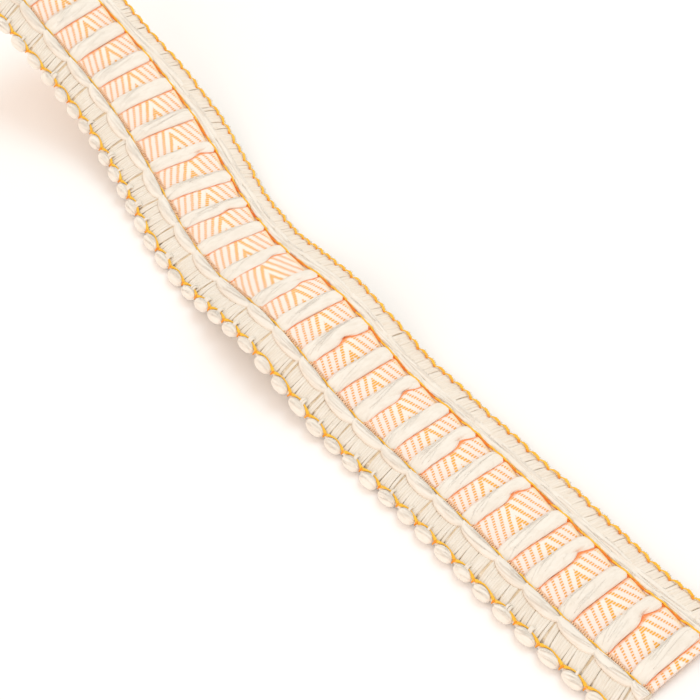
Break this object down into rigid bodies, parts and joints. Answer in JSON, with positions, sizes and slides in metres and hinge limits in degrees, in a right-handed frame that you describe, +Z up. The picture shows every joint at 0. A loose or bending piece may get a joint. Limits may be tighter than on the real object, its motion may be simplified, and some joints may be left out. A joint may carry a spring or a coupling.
{
  "type": "macrame braid trim",
  "caption": "Cut length of cotton braid trim: herringbone ribbon threaded under soft cream rungs, picot bead edge, lobed edge and fine orange binding threads.",
  "frame": {"origin": "on the surface, under the middle of the whole piece's box", "axes": "+X along the trim from its lifted end to its flat end, +Y across towards the lobed edge, +Z up"},
  "size_m": [0.23, 0.0414, 0.0281],
  "materials": {
    "ribbon_cloth": "fine satin weave, white and pale pink with golden-orange and salmon herringbone strokes",
    "cream_cotton": "soft matt cream cotton, loosely twisted roving and fine plied yarn",
    "orange_thread": "thin twisted thread, golden orange, slightly lustrous"
  },
  "bodies": {
    "root": {"ribbon": "ribbon_cloth", "cream_ladder": "cream_cotton", "picot_cord": "cream_cotton", "thread_inner_knob_side": "orange_thread", "thread_inner_lobe_side": "orange_thread", "thread_bead_edge": "orange_thread", "thread_lobe_edge": "orange_thread"}
  },
  "joints": []
}
